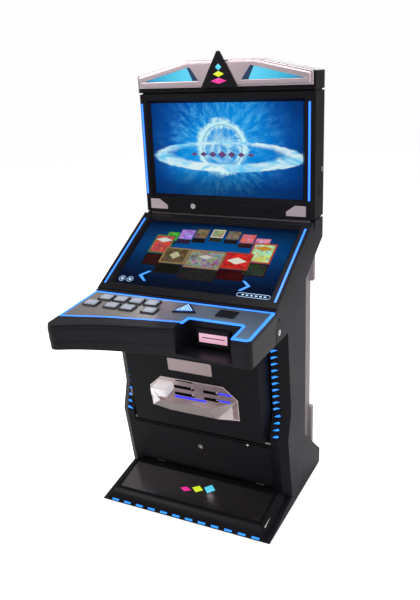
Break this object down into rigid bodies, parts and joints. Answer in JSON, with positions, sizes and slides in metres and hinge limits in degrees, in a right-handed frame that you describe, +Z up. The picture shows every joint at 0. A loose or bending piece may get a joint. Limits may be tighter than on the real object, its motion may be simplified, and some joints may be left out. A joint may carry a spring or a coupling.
{
  "type": "slot machine",
  "caption": "Twin-screen amusement cabinet with a sloping main screen, upright upper screen, lit crown sign, button deck, front doors and a foot.",
  "frame": {"origin": "centre of the bounding box in plan, on the floor", "axes": "+Z up, +Y towards the rear, -Y towards the player, +X to the player's right"},
  "size_m": [0.688, 0.7821, 1.6208],
  "materials": {
    "core_shell": "satin grey",
    "left_side_panel": "satin black laminate",
    "right_side_panel": "satin black laminate",
    "left_cheek": "satin, fine grain",
    "right_cheek": "satin, fine grain",
    "cheek_lights": "lit light guide",
    "plinth": "satin black powder coat",
    "kick_plate": "brushed",
    "toe_lights": "lit light guide",
    "levelling_feet": "matte",
    "deck_upper_shell": "satin, fine grain",
    "deck_lower_shell": "satin, fine grain",
    "deck_plate": "brushed",
    "deck_light_strip": "lit light guide",
    "button_housings": "gloss",
    "button_1": "lit cap",
    "button_2": "lit cap",
    "button_3": "lit cap",
    "button_4": "lit cap",
    "button_5": "lit cap",
    "button_6": "lit cap",
    "button_7": "lit cap",
    "button_8": "lit cap",
    "start_button": "lit cap",
    "card_reader": "matte",
    "note_acceptor": "matte",
    "note_lens": "lit lens",
    "lid_frame": "satin black powder coat",
    "lower_display": "matte",
    "lower_glass": "clear",
    "lid_light_strips": "lit light guide",
    "upper_case": "satin black powder coat",
    "upper_door_frame": "satin black powder coat",
    "upper_display": "matte",
    "upper_glass": "clear",
    "upper_light_strips": "lit light guide",
    "corner_plates": "satin",
    "sign_case": "satin black powder coat",
    "sign_frame": "satin",
    "sign_windows": "lit lens",
    "sign_plaque": "gloss",
    "belly_door": "satin black powder coat",
    "door_plate": "brushed",
    "coin_tray": "brushed",
    "cash_door": "satin black powder coat",
    "cash_lock": "polished",
    "cash_box": "satin",
    "hopper": "matte",
    "hopper_disc": "brushed",
    "logic_box": "satin",
    "power_supply": "satin",
    "speakers": "matte",
    "fan_frame": "matte",
    "fan_rotor": "matte",
    "rear_door": "satin grey",
    "mains_inlet": "matte",
    "door_lock": "polished",
    "deck_lock": "polished",
    "case_lock": "polished",
    "hinge_pins": "brushed"
  },
  "bodies": {
    "cabinet": {"core_shell": "core_shell", "left_side_panel": "left_side_panel", "right_side_panel": "right_side_panel", "left_cheek": "left_cheek", "right_cheek": "right_cheek", "cheek_lights": "cheek_lights", "plinth": "plinth", "kick_plate": "kick_plate", "toe_lights": "toe_lights", "levelling_feet": "levelling_feet", "deck_upper_shell": "deck_upper_shell", "deck_lower_shell": "deck_lower_shell", "deck_plate": "deck_plate", "deck_light_strip": "deck_light_strip", "button_housings": "button_housings", "card_reader": "card_reader", "note_acceptor": "note_acceptor", "note_lens": "note_lens", "upper_case": "upper_case", "sign_case": "sign_case", "sign_frame": "sign_frame", "sign_windows": "sign_windows", "sign_plaque": "sign_plaque", "cash_box": "cash_box", "hopper": "hopper", "logic_box": "logic_box", "power_supply": "power_supply", "speakers": "speakers", "fan_frame": "fan_frame", "mains_inlet": "mains_inlet", "hinge_pins": "hinge_pins"},
    "lid": {"lid_frame": "lid_frame", "lower_display": "lower_display", "lower_glass": "lower_glass", "lid_light_strips": "lid_light_strips"},
    "upper_door": {"upper_door_frame": "upper_door_frame", "upper_display": "upper_display", "upper_glass": "upper_glass", "upper_light_strips": "upper_light_strips", "corner_plates": "corner_plates"},
    "belly_door": {"belly_door": "belly_door", "door_plate": "door_plate", "coin_tray": "coin_tray"},
    "cash_door": {"cash_door": "cash_door"},
    "rear_door": {"rear_door": "rear_door"},
    "door_lock": {"door_lock": "door_lock"},
    "cash_lock": {"cash_lock": "cash_lock"},
    "deck_lock": {"deck_lock": "deck_lock"},
    "case_lock": {"case_lock": "case_lock"},
    "hopper_disc": {"hopper_disc": "hopper_disc"},
    "fan_rotor": {"fan_rotor": "fan_rotor"},
    "start_button": {"start_button": "start_button"},
    "button_1": {"button_1": "button_1"},
    "button_2": {"button_2": "button_2"},
    "button_3": {"button_3": "button_3"},
    "button_4": {"button_4": "button_4"},
    "button_5": {"button_5": "button_5"},
    "button_6": {"button_6": "button_6"},
    "button_7": {"button_7": "button_7"},
    "button_8": {"button_8": "button_8"}
  },
  "joints": [
    {"name": "lid_hinge", "type": "hinge", "parent": "cabinet", "child": "lid", "pos_m": [0, 0.2695, 1.02093], "axis": [-1, 0, 0], "range_deg": [0, 50]},
    {"name": "upper_door_hinge", "type": "hinge", "parent": "cabinet", "child": "upper_door", "pos_m": [-0.34, 0.32907, 1.27977], "axis": [0, 0, -1], "range_deg": [0, 95]},
    {"name": "belly_door_hinge", "type": "hinge", "parent": "cabinet", "child": "belly_door", "pos_m": [-0.28025, -0.01393, 0.506], "axis": [0, 0, -1], "range_deg": [0, 100]},
    {"name": "cash_door_hinge", "type": "hinge", "parent": "cabinet", "child": "cash_door", "pos_m": [0, 0.03296, 0.09], "axis": [1, 0, 0], "range_deg": [0, 70]},
    {"name": "rear_door_hinge", "type": "hinge", "parent": "cabinet", "child": "rear_door", "pos_m": [-0.2742, 0.38657, 0.4], "axis": [0, 0, 1], "range_deg": [0, 110]},
    {"name": "door_lock_turn", "type": "hinge", "parent": "upper_door", "child": "door_lock", "pos_m": [-0.132, 0.27907, 1.07077], "axis": [0, 1, 0], "range_deg": [0, 90]},
    {"name": "cash_lock_turn", "type": "hinge", "parent": "cash_door", "child": "cash_lock", "pos_m": [-0.003, 0.00269, 0.2112], "axis": [0, 0.9871, 0.1601], "range_deg": [0, 90]},
    {"name": "deck_lock_turn", "type": "hinge", "parent": "cabinet", "child": "deck_lock", "pos_m": [0.344, -0.06313, 0.7485], "axis": [-1, 0, 0], "range_deg": [0, 90]},
    {"name": "case_lock_turn", "type": "hinge", "parent": "cabinet", "child": "case_lock", "pos_m": [0.344, 0.37507, 1.21077], "axis": [-1, 0, 0], "range_deg": [0, 90]},
    {"name": "hopper_disc_spin", "type": "hinge", "parent": "cabinet", "child": "hopper_disc", "pos_m": [-0.02, 0.18107, 0.348], "axis": [0, 0, 1], "continuous": true},
    {"name": "fan_spin", "type": "hinge", "parent": "cabinet", "child": "fan_rotor", "pos_m": [0, 0.38107, 0.8685], "axis": [0, 1, 0], "continuous": true},
    {"name": "button_1_press", "type": "slide", "parent": "cabinet", "child": "button_1", "axis": [0, 0.0795, -0.9968], "range_m": [0, 0.003], "stiffness_N_per_m": 600, "springref_m": -0.003},
    {"name": "button_2_press", "type": "slide", "parent": "cabinet", "child": "button_2", "axis": [0, 0.0795, -0.9968], "range_m": [0, 0.003], "stiffness_N_per_m": 600, "springref_m": -0.003},
    {"name": "button_3_press", "type": "slide", "parent": "cabinet", "child": "button_3", "axis": [0, 0.0795, -0.9968], "range_m": [0, 0.003], "stiffness_N_per_m": 600, "springref_m": -0.003},
    {"name": "button_4_press", "type": "slide", "parent": "cabinet", "child": "button_4", "axis": [0, 0.0795, -0.9968], "range_m": [0, 0.003], "stiffness_N_per_m": 600, "springref_m": -0.003},
    {"name": "button_5_press", "type": "slide", "parent": "cabinet", "child": "button_5", "axis": [0, 0.0795, -0.9968], "range_m": [0, 0.003], "stiffness_N_per_m": 600, "springref_m": -0.003},
    {"name": "button_6_press", "type": "slide", "parent": "cabinet", "child": "button_6", "axis": [0, 0.0795, -0.9968], "range_m": [0, 0.003], "stiffness_N_per_m": 600, "springref_m": -0.003},
    {"name": "button_7_press", "type": "slide", "parent": "cabinet", "child": "button_7", "axis": [0, 0.0795, -0.9968], "range_m": [0, 0.003], "stiffness_N_per_m": 600, "springref_m": -0.003},
    {"name": "button_8_press", "type": "slide", "parent": "cabinet", "child": "button_8", "axis": [0, 0.0795, -0.9968], "range_m": [0, 0.003], "stiffness_N_per_m": 600, "springref_m": -0.003},
    {"name": "start_button_press", "type": "slide", "parent": "cabinet", "child": "start_button", "axis": [0, 0.0795, -0.9968], "range_m": [0, 0.003], "stiffness_N_per_m": 600, "springref_m": -0.003}
  ]
}
